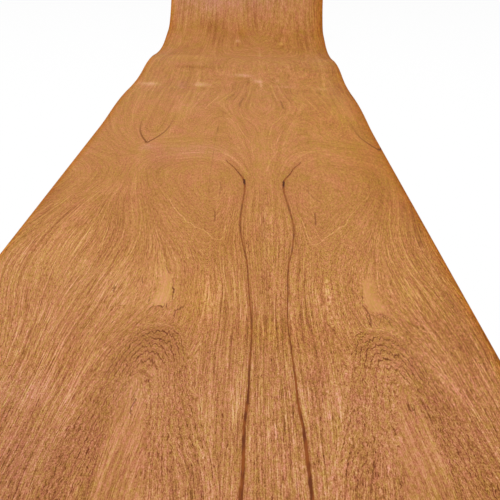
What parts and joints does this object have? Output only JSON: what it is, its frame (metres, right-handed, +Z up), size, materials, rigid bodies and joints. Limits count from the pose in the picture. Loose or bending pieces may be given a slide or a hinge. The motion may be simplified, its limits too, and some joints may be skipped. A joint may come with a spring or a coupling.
{
  "type": "wood veneer sheet",
  "caption": "Long thin sheet of figured wood veneer, book-matched leaves jointed edge to edge along the grain, lying show face up with a far end that curls.",
  "frame": {"origin": "middle of the sheet's footprint, on the floor that it lies on", "axes": "+X across the sheet towards the narrower leaf, +Y along the grain towards the curled end, +Z up, out of the show face"},
  "size_m": [0.61, 2.3448, 0.2126],
  "materials": {
    "veneer": "sliced and sanded, unfinished, low sheen"
  },
  "bodies": {
    "root": {"left_leaf": "veneer", "right_leaf": "veneer"}
  },
  "joints": []
}
